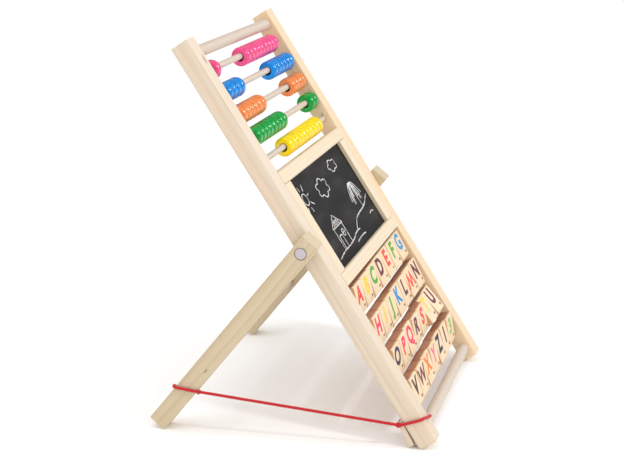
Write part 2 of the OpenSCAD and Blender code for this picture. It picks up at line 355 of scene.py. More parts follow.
@dataclass(frozen=True)
class Timber:
    """Sawn and sanded softwood, with growth rings round a pith that lies outside the piece."""

    pale: str
    late: str
    warm: str
    ring_gap: float = 3.6 * MM
    ring_edge: float = 2.6
    ring_share: float = 0.34
    waver: float = 11 * MM
    waver_scale: float = 26
    warm_scale: float = 85
    warm_share: float = 0.5
    fibre_scale: float = 1300
    fibre_share: float = 0.16
    roughness: float = 0.58
    roughness_spread: float = 0.16
    relief: float = 0.05 * MM

    def grain(
        self, nodes: Nodes, space: Matrix, seed: int, knots: Sequence[Knot] = ()
    ) -> tuple[Field, Field]:
        """Adds the grain's nodes.

        Args:
            nodes: The tree to add them to.
            space: The matrix from the row frame to wood space, z along the grain.
            seed: What sets this piece's place in the tree that it was sawn from.
            knots: The knots that show on it.

        Returns:
            The colour, and the relief from 0 to 1.
        """
        chance = random.Random(seed)
        pith = (chance.uniform(28, 60) * MM, chance.uniform(18, 50) * MM, chance.uniform(-2, 2))
        wood = nodes.place(space, pith)
        x, y, _ = nodes.split(wood)
        drift = nodes.noise(nodes.stretch(wood, (1, 1, 0.1)), self.waver_scale)
        radius = (x * x + y * y) ** 0.5 + drift * self.waver
        late = (radius / self.ring_gap).fraction() ** self.ring_edge
        fibre = nodes.noise(nodes.stretch(wood, (1, 1, 0.025)), self.fibre_scale, 3.0)
        streak = nodes.noise(nodes.stretch(wood, (1, 1, 0.07)), self.warm_scale).step(0.42, 0.7)
        colour = nodes.mix(late * self.ring_share, tint(self.pale), tint(self.late))
        colour = nodes.mix(streak * self.warm_share, colour, tint(self.warm))
        colour = nodes.mix(fibre.step(0.45, 0.75) * self.fibre_share, colour, tint(self.late))
        for knot in knots:
            colour = knot.darken(nodes, space, fibre, colour)
        return colour, fibre * 0.6 + late * 0.4

    def sand(self, nodes: Nodes, colour: Field, relief: Field) -> bpy.types.Material:
        """Completes a material that is rougher where its relief is high."""
        roughness = relief * self.roughness_spread + (self.roughness - self.roughness_spread / 2)
        return nodes.surface(relief, self.relief, Base_Color=colour, Roughness=roughness)

    def material(
        self, name: str, space: Matrix, seed: int, knots: Sequence[Knot] = ()
    ) -> bpy.types.Material:
        """Makes the material of one piece.

        Args:
            name: The material's name.
            space: The matrix from the row frame to wood space.
            seed: What sets this piece apart from others of the same timber.
            knots: The knots that show on it.

        Returns:
            The material.
        """
        nodes = Nodes.of_material(name)
        return self.sand(nodes, *self.grain(nodes, space, seed, knots))


@dataclass(frozen=True)
class BlockTimber:
    """A block's timber, with singed sides and ends browned by scorch and painted shade, pale near the
    front.
    """

    timber: Timber
    scorch_and_shade: str = "9A5A3A"
    scorch_and_shade_least: float = 0.62
    singe: str = "D69A66"
    singe_share: float = 0.7
    smoke_scale: float = 260
    reach: float = 0.7 * MM
    bare_front: float = 4.0 * MM

    def material(self, name: str, pose: Matrix, size: Vector, seed: int) -> bpy.types.Material:
        """Makes the material of one block.

        Args:
            name: The material's name.
            pose: The matrix from the block's own space to the row frame.
            size: The block's width, thickness and height.
            seed: What sets its grain.

        Returns:
            The material.
        """
        nodes = Nodes.of_material(name)
        space = pose.inverted()
        colour, relief = self.timber.grain(nodes, space, seed)
        here = nodes.place(space)
        x, y, z = nodes.split(here)
        smoke = nodes.noise(here, self.smoke_scale, 3.0)
        bare = self.bare_front - size.y / 2
        back = (y + smoke * (1.5 * MM)).step(bare - self.bare_front / 2, bare)
        # The ends' brown is part laser scorch and part painted shade, the shade that falls in the gaps
        # between the rows.
        end = (abs(z) + smoke * (0.5 * MM)).step(size.z / 2 - self.reach, size.z / 2) * back
        side = (abs(x) + smoke * (0.6 * MM)).step(size.x / 2 - self.reach / 2, size.x / 2)
        colour = nodes.mix(side * self.singe_share, colour, tint(self.singe))
        depth = (smoke * 0.5 + self.scorch_and_shade_least).least(1.0)
        colour = nodes.mix(end * depth, colour, tint(self.scorch_and_shade))
        return self.timber.sand(nodes, colour, relief)


@dataclass(frozen=True)
class GlossPaint:
    """Thick dipped paint on turned wood."""

    colour: str
    shade: str
    pooling: float = 0.45
    pool_scale: float = 140
    peel_scale: float = 900
    peel_depth: float = 0.02 * MM
    coat: float = 0.65
    coat_roughness: float = 0.08
    specular: float = 0.1
    roughness: float = 0.24

    def material(self, name: str) -> bpy.types.Material:
        """Makes the paint, a little uneven, with a faint orange peel."""
        nodes = Nodes.of_material(name)
        here = nodes.place()
        pool = nodes.noise(here, self.pool_scale).step(0.35, 0.75)
        peel = nodes.noise(here, self.peel_scale)
        colour = nodes.mix(pool * self.pooling, tint(self.colour), tint(self.shade))
        gloss = {"Coat Weight": self.coat, "Coat Roughness": self.coat_roughness}
        nodes.feed(nodes.shader, {**gloss, "Specular IOR Level": self.specular})
        roughness = peel * 0.15 + self.roughness
        return nodes.surface(peel, self.peel_depth, Base_Color=colour, Roughness=roughness)


@dataclass(frozen=True)
class PrintInk:
    """Ink printed on bare wood, thin enough for the grain to show in places."""

    colour: str
    bare: str = "EBD3A8"
    bare_share: float = 0.35
    thin_share: float = 0.04
    pinhole_scale: float = 1900
    pinhole_depth: float = 0.02 * MM
    thin_scale: float = 180
    specular: float = 0.2
    roughness: float = 0.45

    def material(self, name: str) -> bpy.types.Material:
        """Makes the ink, with its pinholes."""
        nodes = Nodes.of_material(name)
        here = nodes.place()
        pinholes = nodes.noise(here, self.pinhole_scale).step(0.62, 0.74)
        thin = nodes.noise(here, self.thin_scale)
        showing = pinholes * self.bare_share + thin * self.thin_share
        colour = nodes.mix(showing, tint(self.colour), tint(self.bare))
        nodes.feed(nodes.shader, {"Specular IOR Level": self.specular})
        roughness = thin * 0.2 + self.roughness
        return nodes.surface(pinholes, self.pinhole_depth, Base_Color=colour, Roughness=roughness)


@dataclass(frozen=True)
class Blackboard:
    """Matt black board paint, with rubbed-out chalk left in its tooth."""

    paint: str = "1D1A1B"
    dust: str = "5E5B5A"
    wiped_share: float = 0.3
    wiped_scale: float = 60
    tooth_share: float = 0.14
    tooth_scale: float = 2600
    tooth_depth: float = 0.04 * MM
    specular: float = 0.2
    roughness: float = 0.78

    def material(self, name: str, space: Matrix) -> bpy.types.Material:
        """Makes the board paint.

        Args:
            name: The material's name.
            space: The matrix from the row frame to board space.

        Returns:
            The material.
        """
        nodes = Nodes.of_material(name)
        here = nodes.place(space)
        sideways = nodes.stretch(here, (0.35, 1, 1))
        wiped = nodes.noise(sideways, self.wiped_scale, 3.0).step(0.4, 0.85)
        tooth = nodes.noise(here, self.tooth_scale, 3.0)
        nodes.feed(nodes.shader, {"Specular IOR Level": self.specular})
        dusty = wiped * self.wiped_share + tooth.step(0.6, 0.8) * self.tooth_share
        colour = nodes.mix(dusty, tint(self.paint), tint(self.dust))
        roughness = wiped * 0.1 + self.roughness
        return nodes.surface(tooth, self.tooth_depth, Base_Color=colour, Roughness=roughness)


@dataclass(frozen=True)
class Chalk:
    """A chalk line, broken up by the tooth of the board."""

    colour: str = "E9E7E4"
    skip_scale: float = 1500
    press_scale: float = 120
    thickness: float = 0.05 * MM
    roughness: float = 0.95

    def material(self, name: str) -> bpy.types.Material:
        """Makes the chalk, with gaps where it skipped."""
        nodes = Nodes.of_material(name)
        here = nodes.place()
        skip = nodes.noise(here, self.skip_scale, 3.0).step(0.36, 0.52)
        press = nodes.noise(here, self.press_scale).step(0.2, 0.6)
        inputs = {"Base_Color": tint(self.colour), "Roughness": self.roughness}
        return nodes.surface(skip, self.thickness, Alpha=skip * (press * 0.6 + 0.4), **inputs)


@dataclass(frozen=True)
class CordYarn:
    """Soft twisted yarn."""

    colour: str
    shade: str
    fibre_scale: float = 2800
    fibre_depth: float = 0.2 * MM
    sheen: float = 0.25
    sheen_roughness: float = 0.5
    roughness: float = 0.7

    def material(self, name: str) -> bpy.types.Material:
        """Makes the yarn, with its fine fibres."""
        nodes = Nodes.of_material(name)
        fibre = nodes.noise(nodes.place(), self.fibre_scale, 4.0)
        colour = nodes.mix(fibre.step(0.4, 0.75), tint(self.colour), tint(self.shade))
        sheen = {"Sheen Weight": self.sheen, "Sheen Roughness": self.sheen_roughness}
        nodes.feed(nodes.shader, sheen)
        roughness = fibre * 0.2 + self.roughness
        return nodes.surface(fibre, self.fibre_depth, Base_Color=colour, Roughness=roughness)


@dataclass(frozen=True)
class DrawnWire:
    """Bright drawn steel wire."""

    colour: str = "9B9C9E"
    bright: str = "C9C9C8"
    line_scale: float = 3000
    line_depth: float = 0.01 * MM
    roughness: float = 0.25

    def material(self, name: str) -> bpy.types.Material:
        """Makes the wire, with lines along its length."""
        nodes = Nodes.of_material(name)
        lines = nodes.noise(nodes.stretch(nodes.place(), (0.02, 1, 1)), self.line_scale)
        colour = nodes.mix(lines, tint(self.colour), tint(self.bright))
        inputs = {"Metallic": 1.0, "Roughness": lines * 0.2 + self.roughness}
        return nodes.surface(lines, self.line_depth, Base_Color=colour, **inputs)


class Shape:
    """A bmesh on its way to becoming one finished piece."""

    def __init__(self) -> None:
        """Starts with nothing."""
        self.bm = bmesh.new()

    @classmethod
    def copy_of(cls, node: str) -> "Shape":
        """A copy of a CAD node's mesh, with its triangles merged into whole faces."""
        shape = cls()
        bm = shape.bm
        bm.from_mesh(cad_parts[node].data)
        bmesh.ops.remove_doubles(bm, verts=bm.verts, dist=WELD)
        bmesh.ops.dissolve_limit(bm, angle_limit=FLAT_ANGLE, verts=bm.verts, edges=bm.edges)
        return shape

    def soften(self, radius: float) -> "Shape":
        """Rounds every sharp outer edge.

        Args:
            radius: How far the rounding reaches from the edge.

        Returns:
            The shape itself.
        """
        bm = self.bm
        sharp = [
            edge for edge in bm.edges
            if edge.is_manifold and edge.is_convex and edge.calc_face_angle() > SHARP_ANGLE
        ]
        bmesh.ops.bevel(
            bm, geom=sharp, affect="EDGES", offset=radius, segments=2, profile=0.5, material=-1,
            clamp_overlap=True,
        )
        return self

    def add_mesh(self, mesh: bpy.types.Mesh, place: Matrix, finish: int = 0) -> "Shape":
        """Adds a mesh and then discards it.

        Args:
            mesh: The mesh.
            place: Where it goes.
            finish: The place of its material in the piece's list.

        Returns:
            The shape itself.
        """
        mesh.transform(place)
        for face in mesh.polygons:
            face.material_index = finish
        self.bm.from_mesh(mesh)
        bpy.data.meshes.remove(mesh)
        return self

    def add_shape(self, other: "Shape", place: Matrix, finish: int = 0) -> "Shape":
        """Adds another shape and then discards it.

        Args:
            other: The other shape.
            place: Where it goes.
            finish: The place of its material in the piece's list.

        Returns:
            The shape itself.
        """
        mesh = bpy.data.meshes.new("part")
        other.bm.to_mesh(mesh)
        other.bm.free()
        return self.add_mesh(mesh, place, finish)

    def piece(
        self,
        name: str,
        materials: Iterable[bpy.types.Material],
        slot: str = "",
        body: str = "",
        nodes: Sequence[str] = (),
    ) -> bpy.types.Object:
        """Turns the shape into a finished piece.

        Args:
            name: The piece's name.
            materials: Its materials.
            slot: Not used.
            body: The CAD body that it rides on, if it rides on one.
            nodes: The CAD nodes that it stands for.

        Returns:
            The piece.
        """
        for face in self.bm.faces:
            face.smooth = True
        for edge in self.bm.edges:
            edge.smooth = edge.is_manifold and edge.calc_face_angle() < SHARP_ANGLE
        mesh = bpy.data.meshes.new(name)
        self.bm.to_mesh(mesh)
        self.bm.free()
        for material in materials:
            mesh.materials.append(material)
        piece = bpy.data.objects.new(name, mesh)
        bpy.context.scene.collection.objects.link(piece)
        piece.modifiers.new("Even normals", "WEIGHTED_NORMAL").keep_sharp = True
        if body:
            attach(piece, body)
        if nodes:
            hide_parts(*nodes)
        return piece


def dress(node: str, material: bpy.types.Material) -> bpy.types.Object:
    """Gives a CAD node that stays a finished material.

    Args:
        node: The node's name.
        material: Its material.

    Returns:
        The node's object.
    """
    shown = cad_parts[node]
    for slot in shown.material_slots:
        slot.material = material
    return shown


def round_line(
    points: Sequence[Vector], radius: float, closed: bool, smooth: bool = False
) -> bpy.types.Mesh:
    """A round tube along a line.

    Args:
        points: The line's points.
        radius: The tube's radius.
        closed: Whether the line closes on itself.
        smooth: Whether the line is drawn as a smooth curve near its points.

    Returns:
        The tube's mesh.
    """
    curve = bpy.data.curves.new("line", "CURVE")
    curve.dimensions = "3D"
    curve.bevel_depth = radius
    curve.bevel_resolution = 2
    curve.use_fill_caps = not closed
    curve.resolution_u = 5
    spline = curve.splines.new("NURBS" if smooth else "POLY")
    spline.points.add(len(points) - 1)
    for place, point in zip(spline.points, points):
        place.co = (*point, 1)
    spline.use_cyclic_u = closed
    if smooth:
        spline.order_u = 3
        spline.use_endpoint_u = not closed
    return mesh_of(curve)


def mesh_of(curve: bpy.types.Curve) -> bpy.types.Mesh:
    """Makes a mesh from a curve or a text and discards the curve."""
    holder = bpy.data.objects.new("holder", curve)
    mesh = bpy.data.meshes.new_from_object(holder)
    bpy.data.objects.remove(holder)
    bpy.data.curves.remove(curve)
    return mesh


@dataclass(frozen=True)
class TwistedCord:
    """A cord laid up from strands."""

    diameter: float = 3 * MM
    strands: int = 3
    lay: float = 8.5 * MM
    step: float = 0.8 * MM
    fullness: float = 0.56

    @staticmethod
    def smooth(points: Sequence[Vector], closed: bool, steps: int = 12) -> list[Vector]:
        """Draws a smooth line through points.

        Args:
            points: The points.
            closed: Whether the line closes on itself.
            steps: The number of steps between two points.

        Returns:
            The line's points.
        """
        count = len(points)
        line = []
        for i in range(count if closed else count - 1):
            if closed:
                a, b, c, d = (points[(i + k) % count] for k in (-1, 0, 1, 2))
            else:
                a, b, c, d = (points[min(max(i + k, 0), count - 1)] for k in (-1, 0, 1, 2))
            for k in range(steps):
                t = k / steps
                curve = (2 * a - 5 * b + 4 * c - d) * t ** 2 + (3 * b - a - 3 * c + d) * t ** 3
                line.append(0.5 * (2 * b + (c - a) * t + curve))
        return line if closed else [*line, points[-1]]

    def even(self, line: Sequence[Vector], closed: bool) -> list[Vector]:
        """Spaces a line's points evenly.

        Args:
            line: The line's points.
            closed: Whether the line closes on itself.

        Returns:
            The same line with its points about one step apart.
        """
        ends = [*line, line[0]] if closed else list(line)
        lengths = [0.0]
        for start, end in zip(ends, ends[1:]):
            lengths.append(lengths[-1] + (end - start).length)
        count = max(8, round(lengths[-1] / self.step))
        spaced = []
        place = 0
        for i in range(count if closed else count + 1):
            want = lengths[-1] * i / count
            while place < len(lengths) - 2 and lengths[place + 1] < want:
                place += 1
            share = (want - lengths[place]) / (lengths[place + 1] - lengths[place])
            spaced.append(ends[place].lerp(ends[place + 1], min(share, 1)))
        return spaced

    def shape(self, route: Sequence[Vector], closed: bool) -> Shape:
        """Lays the strands along a route.

        Args:
            route: The route's points.
            closed: Whether the route closes on itself.

        Returns:
            The cord.
        """
        line = self.even(self.smooth(route, closed), closed)
        count = len(line)
        after = [line[(i + 1) % count] if closed or i + 1 < count else line[i] for i in range(count)]
        before = [line[i - 1] if closed or i else line[i] for i in range(count)]
        tangents = [(b - a).normalized() for a, b in zip(before, after)]
        sides = [tangents[0].orthogonal().normalized()]
        for start, end in zip(tangents, [*tangents[1:], tangents[0]]):
            sides.append(start.rotation_difference(end) @ sides[-1])
        slip = 0.0
        if closed:
            crossed = sides[0].cross(sides[-1]).dot(tangents[0])
            slip = -math.atan2(crossed, sides[0].dot(sides[-1]))
        turns = round(count * self.step / self.lay)
        strand = self.diameter / 2 * self.fullness
        orbit = self.diameter / 2 - strand
        shape = Shape()
        for number in range(self.strands):
            helix = []
            for i, (point, tangent, side) in enumerate(zip(line, tangents, sides)):
                angle = TURN * (number / self.strands + turns * i / count) + slip * i / count
                helix.append(point + Matrix.Rotation(angle, 3, tangent) @ side * orbit)
            shape.add_mesh(round_line(helix, strand, closed), UNMOVED)
        return shape


@dataclass
class StayCord:
    """The red cord that stops the legs: a loop round a leg, a loop round a stile and the span."""

    stance: Stance
    cord: TwistedCord = TwistedCord()
    yarn: CordYarn = CordYarn("CE0E18", "9C0610")
    knot_width: float = 6 * MM
    knot_points: int = 24
    leg_tuck: float = 1.5 * MM
    knot_tuck: float = 4 * MM
    foot_loop: tuple = (
        (-1.6, 2, 28.5), (-1.6, -8, 26.5), (-1.6, -16, 25), (-0.8, -18.8, 24.5), (2, -19.6, 24),
        (9, -19.6, 21.5), (16, -19.6, 19.5), (18.8, -18.8, 19), (19.6, -16, 19), (19.6, -8, 20.5),
        (19.6, 0, 24), (18, 3, 27), (14, 5.8, 28.5), (11, 6.2, 28.5), (6, 6.2, 28.5),
        (1, 6.2, 28.5), (-1, 5, 28.5),
    )
    leg_loop: tuple = (
        (-1.6, 8, -185.3), (-1.6, 0, -180), (-1.6, -8, -174.7), (-0.6, -10.2, -173.3),
        (2.4, -10.8, -174), (9, -10.8, -179), (15.6, -10.8, -184.5), (18.6, -10.2, -186.5),
        (19.6, -8, -188), (19.6, 0, -192.5), (19.6, 8, -197), (18.6, 10.2, -197.5),
        (15.6, 10.8, -196.5), (9, 10.8, -191.5), (2.4, 10.8, -187.5), (-0.6, 10.2, -186.7),
    )
    span: tuple = ((-135.6, 82.4, 43.2), (-127.6, -8, 33.7), (-119.5, -98, 24.2))

    @staticmethod
    def in_metres(points: Iterable[Sequence[float]], place: Matrix) -> list[Vector]:
        """A route in metres, in the row frame."""
        return [place @ (Vector(point) * MM) for point in points]

    def build(self) -> list[bpy.types.Object]:
        """Makes the loops, the knot and the span.

        Returns:
            The four pieces.
        """
        yarn = self.yarn.material("red_yarn")
        stile_side = Matrix.Translation((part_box("left_stile")[0].x, 0, 0))
        leg_side = Matrix.Translation((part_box("left_leg")[0].x, 0, 0))
        foot = self.in_metres(self.foot_loop, stile_side @ self.stance.board)
        ankle = self.in_metres(self.leg_loop, leg_side @ self.stance.leg)
        span = self.in_metres(self.span, UNMOVED)
        span[0] = span[0] + (span[0] - span[1]).normalized() * self.leg_tuck
        span[-1] = span[-1] + (span[-1] - span[-2]).normalized() * self.knot_tuck
        line = self.cord.even(span, False)
        stay = self.cord.shape(span, False).piece("stay_span", [yarn], "cord", nodes=["stay_cord"])
        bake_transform(stay)
        length = sum((end - start).length for start, end in zip(line, line[1:]))
        line[::5] + line[-1:]
        return [
            stay,
            self.cord.shape(foot, True).piece("foot_loop_cord", [yarn], "cord", "frame", ["foot_loop"]),
            self.cord.shape(ankle, True).piece("leg_loop_cord", [yarn], "cord", "legs", ["leg_loop"]),
            self.knot().piece("stay_knot", [yarn], "cord", "frame", ["cord_knot"]),
        ]

    def knot(self) -> Shape:
        """The overhand knot where the span meets the foot loop."""
        thin = TwistedCord(diameter=self.knot_width * 0.4, lay=self.cord.lay * 0.7, step=0.5 * MM)
        scale = (self.knot_width - thin.diameter) / 6
        centre = middle("cord_knot")
        route = []
        for i in range(self.knot_points):
            turn = TURN * i / self.knot_points
            reach = 2 + math.cos(3 * turn)
            x, y, z = 1.7 * math.sin(3 * turn), reach * math.cos(2 * turn), reach * math.sin(2 * turn)
            route.append(centre + Vector((x, y, z)) * scale)
        return thin.shape(route, True)


@dataclass
class Carpentry:
    """The stiles, legs, dowels, rods, pins and wedge that hold the easel together. A stile's knot is
    placed from its top at the front, and the leg's from the pivot, on its outer side."""

    stance: Stance
    stile: Timber = Timber("DACAB5", "B3926F", "DCC3A8")
    leg: Timber = Timber("CCBC9D", "A98A62", "C6AF87")
    # A warmer copy of the stile timber for the far stile: the warmth is painted shade, the shade on its
    # inner face, though it covers every face.
    far_stile_shaded: Timber = Timber("E3CCAC", "B78F62", "E2C092")
    dowel: Timber = Timber("CDBEAF", "B29C84", "CCB8A6", ring_share=0.2)
    peg: Timber = Timber("C4BABE", "94898C", "B9AEB6", ring_gap=1.2 * MM)
    wire: DrawnWire = DrawnWire()
    arris: float = 0.5 * MM
    top_knot: tuple = (-7 * MM, 0, -22 * MM)
    far_knot: tuple = (0, 7 * MM, -121 * MM)
    leg_knot: tuple = (0, -3 * MM, -152 * MM)
    large_knot: float = 2.2 * MM
    small_knot: float = 1.2 * MM

    def bar(
        self, node: str, timber: Timber, space: Matrix, slot: str, body: str, seed: int,
        knots: Sequence[Knot] = (),
    ) -> bpy.types.Object:
        """One sawn piece, with its sharp edges sanded.

        Args:
            node: The CAD node that it copies.
            timber: What it is sawn from.
            space: The wood space of its grain.
            slot: The record's material slot.
            body: The body that it rides on.
            seed: What sets its grain.
            knots: The knots that show on it.

        Returns:
            The piece.
        """
        material = timber.material(f"{node}_timber", space, seed, knots)
        shape = Shape.copy_of(node).soften(self.arris)
        return shape.piece(f"{node}_wood", [material], slot, body, [node])

    def build(self) -> list[bpy.types.Object]:
        """Makes every bar and dresses the dowels, rods and axles.

        Returns:
            The pieces.
        """
        stance = self.stance
        up = stance.along_stile
        across = stance.across
        low, high = extents("left_stile", stance.board)
        leg_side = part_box("left_leg")[0].x
        top_knot = Knot(Vector((high.x, low.y, high.z)) + Vector(self.top_knot), self.large_knot)
        leg_knot = Knot(Vector((leg_side, 0, 0)) + Vector(self.leg_knot), self.small_knot)
        far_knot = Knot(Vector((-high.x, low.y, high.z)) + Vector(self.far_knot), self.small_knot)
        pieces = [
            self.bar("left_stile", self.stile, up, "stile", "frame", 11, [top_knot]),
            self.bar("right_stile", self.far_stile_shaded, up, "stile", "frame", 12, [far_knot]),
            self.bar("foot_wedge", self.stile, up, "dowel", "frame", 13),
            self.bar("left_leg", self.leg, stance.along_leg, "leg", "legs", 21, [leg_knot]),
            self.bar("right_leg", self.leg, stance.along_leg, "leg", "legs", 22),
            self.bar("left_pivot_pin", self.peg, across, "pin", "frame", 31),
            self.bar("right_pivot_pin", self.peg, across, "pin", "frame", 32),
        ]
        for seed, node in enumerate(("top_dowel", "bottom_dowel", "leg_spreader", "abacus_rods")):
            pieces.append(dress(node, self.dowel.material(f"{node}_timber", across, 41 + seed)))
        pieces.append(dress("block_axles", self.wire.material("axle_wire")))
        return pieces


@dataclass
class ChalkDrawing:
    """A child's drawing: a sun, two clouds, a house, a tree and the ground. Millimetres from the
    middle of the board, across and up."""

    line: float = 0.62 * MM
    proud: float = 0.16
    branches: tuple = ((-17, 16, 4), (-12, 20, 7), (-6, 13, 4), (6, 15, 5), (12, 19, 7), (18, 14, 5))
    strokes: list = field(default_factory=list)

    def stroke(self, *points: Sequence[float], closed: bool = False) -> None:
        """Adds one stroke through or near its points."""
        self.strokes.append(([Vector((x, 0, z)) * MM for x, z in points], closed))

    def ring(self, x: float, z: float, width: float, height: float, bumps: int, depth: float) -> None:
        """Adds a closed outline with bumps, or an oval if there are none.

        Args:
            x: Its middle, across.
            z: Its middle, up.
            width: Its width.
            height: Its height.
            bumps: The number of bumps.
            depth: How far the dips between them go in, as a share of the width.
        """
        count = max(12, 6 * bumps)
        points = []
        for i in range(count):
            turn = TURN * i / count
            reach = 1 - depth * (1 - abs(math.sin(bumps * turn / 2)))
            across, up = width / 2 * reach * math.cos(turn), height / 2 * reach * math.sin(turn)
            points.append((x + across, z + up))
        self.stroke(*points, closed=True)

    def sun(self, x: float, z: float) -> None:
        """Adds a sun with its rays."""
        self.ring(x, z, 12, 12, 0, 0)
        for i in range(8):
            turn = TURN * (i + 0.3) / 8
            near, far = (9, 14 + 2 * (i % 2))
            self.stroke(*[(x + r * math.cos(turn), z + r * math.sin(turn)) for r in (near, far)])

    def tree(self, x: float, z: float, height: float) -> None:
        """Adds a leaning tree with drooping branches, each a pair of strokes."""
        crown = x - 3
        top = z + height
        self.stroke((x, z), (x - 1, z + height * 0.5), (crown, top))
        for reach, drop, rise in self.branches:
            tip = top - drop
            self.stroke((crown, top), (crown + reach * 0.5, top + rise), (crown + reach, tip))
            inner = (crown + reach * 0.4, top + rise - 3)
            self.stroke((crown, top + 1), inner, (crown + reach * 0.75, tip))

    def house(self, x: float, z: float, width: float, height: float) -> None:
        """Adds a house with a hatched roof, a door and a window."""
        right = x + width
        centre = x + width / 2
        eaves = z + height
        ridge = eaves + width * 0.45
        for wall in (x, right):
            self.stroke((wall, eaves), (wall, z + height / 2), (wall, z))
        self.stroke((x - 2, eaves), (right + 2, eaves))
        self.stroke((x - 2, eaves), (centre, ridge))
        self.stroke((centre, ridge), (right + 2, eaves))
        for i in range(1, 6):
            self.stroke((x + width * i / 6, eaves), (centre + width * (i - 3) / 14, ridge - 5))
        pane = z + height * 0.62
        self.ring(x + width * 0.7, pane, 7, 7, 0, 0)
        self.stroke((x + width * 0.58, pane), (x + width * 0.82, pane))
        door = x + width * 0.3
        lintel = z + height * 0.58
        self.stroke((door - 4, z), (door - 4, z + height * 0.3), (door - 4, lintel))
        self.stroke((door - 4, lintel), (door, z + height * 0.66), (door + 4, lintel))
        self.stroke((door + 4, lintel), (door + 4, z + height * 0.3), (door + 4, z))

    def shape(self, place: Matrix) -> Shape:
        """Draws everything.

        Args:
            place: The matrix from the drawing's plane to the row frame.

        Returns:
            The chalk lines, pressed flat.
        """
        self.sun(-66, 24)
        self.ring(-14, 22, 34, 20, 6, 0.32)
        self.ring(38, 33, 26, 13, 5, 0.32)
        self.house(-46, -37, 26, 22)
        self.tree(54, -20, 27)
        self.stroke((-68, -40), (-52, -37), (-34, -37.5), (-12, -36), (2, -32), (14, -33))
        self.stroke((6, -33), (16, -24), (34, -21), (54, -20), (66, -17), (78, -12))
        self.stroke((-8, -41), (8, -38.5), (22, -40))
        self.stroke((60, -30), (66, -27.5), (72, -30))
        shape = Shape()
        flat = place @ Matrix.Diagonal((1, self.proud, 1, 1))
        for points, closed in self.strokes:
            shape.add_mesh(round_line(points, self.line, closed, smooth=True), flat)
        return shape


@dataclass
class BoardPanel:
    """The two rails and two strips that hold the chalkboard."""

    stance: Stance
    rail: Timber = Timber("DDCDB2", "C3A379", "DFC7A4", ring_share=0.22, warm_share=0.4)
    board: Blackboard = Blackboard()
    chalk: Chalk = Chalk()
    arris: float = 0.3 * MM

    def build(self) -> list[bpy.types.Object]:
        """Makes the panel's frame, its board and the drawing.

        Returns:
            The pieces.
        """
        stance = self.stance
        pieces = []
        grains = {
            "upper_rail": stance.across, "lower_rail": stance.across,
            "left_strip": stance.along_stile, "right_strip": stance.along_stile,
        }
        for seed, (node, space) in enumerate(grains.items()):
            material = self.rail.material(f"{node}_timber", space, 51 + seed)
            shape = Shape.copy_of(node).soften(self.arris)
            pieces.append(shape.piece(f"{node}_wood", [material], "panel", "frame", [node]))
        pieces.append(dress("chalkboard", self.board.material("board_paint", stance.along_stile)))
        low, high = extents("chalkboard", stance.board)
        place = stance.board @ Matrix.Translation((0, low.y, (low.z + high.z) / 2))
        drawing = ChalkDrawing().shape(place)
        pieces.append(drawing.piece("chalk_drawing", [self.chalk.material("chalk")], body="frame"))
        return pieces


class BeadPaint(Enum):
    """The paint of each row of beads, its colour first and then its shade where it is thick."""

    PINK = ("E9508C", "CE3460")
    BLUE = ("0086DA", "005FAE")
    ORANGE = ("EA8747", "D0641F")
    GREEN = ("009E3C", "006C24")
    YELLOW = ("F8D800", "EDB000")


@dataclass
class Abacus:
    """The runs of beads on the rods."""

    sides: int = 48
    rim_share: float = 0.365
    rim_facets: int = 6
    hole_share: float = 0.4516
    lip: float = 0.35 * MM
    lip_facets: int = 2
    runs: tuple = (
        ("pink_bead_left", BeadPaint.PINK), ("pink_beads_right", BeadPaint.PINK),
        ("blue_beads_left", BeadPaint.BLUE), ("blue_beads_right", BeadPaint.BLUE),
        ("orange_beads_left", BeadPaint.ORANGE), ("orange_beads_right", BeadPaint.ORANGE),
        ("green_beads_left", BeadPaint.GREEN), ("green_beads_right", BeadPaint.GREEN),
        ("yellow_beads", BeadPaint.YELLOW),
    )

    def bead(self, width: float, radius: float) -> Shape:
        """Turns one bead about the X axis, starting at x = 0.

        Args:
            width: Its width.
            radius: Its outer radius.

        Returns:
            The bead.
        """
        shape = Shape()
        bm = shape.bm
        bore = radius * self.hole_share
        outline = ((0, 0, bore), (0, 0, radius), (width, 0, radius), (width, 0, bore))
        corners = [bm.verts.new(corner) for corner in outline]
        edges = [bm.edges.new((corners[i - 1], corners[i])) for i in range(4)]
        bmesh.ops.spin(
            bm, geom=[*corners, *edges], axis=(1, 0, 0), cent=(0, 0, 0), dvec=(0, 0, 0), angle=TURN,
            steps=self.sides, use_merge=True, use_duplicate=False,
        )
        bmesh.ops.recalc_face_normals(bm, faces=bm.faces)
        halfway = (radius + bore) / 2
        rim = (True, radius * self.rim_share, self.rim_facets)
        lip = (False, self.lip, self.lip_facets)
        for outer, offset, facets in (rim, lip):
            edges = [
                edge for edge in bm.edges
                if edge.calc_face_angle() > SHARP_ANGLE and (edge.verts[0].co.yz.length > halfway) == outer
            ]
            bmesh.ops.bevel(
                bm, geom=edges, affect="EDGES", offset=offset, segments=facets, profile=0.5,
                material=-1, clamp_overlap=True,
            )
        return shape

    def build(self) -> list[bpy.types.Object]:
        """Threads every run of beads.

        Returns:
            One piece for each run.
        """
        low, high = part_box("pink_bead_left")
        width = high.x - low.x
        radius = (high.z - low.z) / 2
        paints = {
            paint: GlossPaint(*paint.value).material(f"{paint.name.lower()}_paint") for paint in BeadPaint
        }
        pieces = []
        for node, paint in self.runs:
            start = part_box(node)[0].x
            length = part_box(node)[1].x - start
            axis = middle(node)
            shape = Shape()
            for number in range(round(length / width)):
                place = Matrix.Translation((start + number * width, axis.y, axis.z))
                shape.add_shape(self.bead(width, radius), place)
            slot = f"bead_{paint.name.lower()}"
            pieces.append(shape.piece(f"{node}_painted", [paints[paint]], slot, node, [node]))
        return pieces


class Ink(Enum):
    """The printing inks of the blocks."""

    RED = "E2403F"
    ROSE = "E6325F"
    PINK = "EC6A92"
    ORANGE = "EE7A2C"
    YELLOW = "F7C63C"
    LIME = "7DBB5A"
    GREEN = "4DA32F"
    SKY = "1E92C8"
    BLUE = "0088D0"
    NAVY = "23244F"
    PLUM = "6A2842"
    BROWN = "4A2A2C"


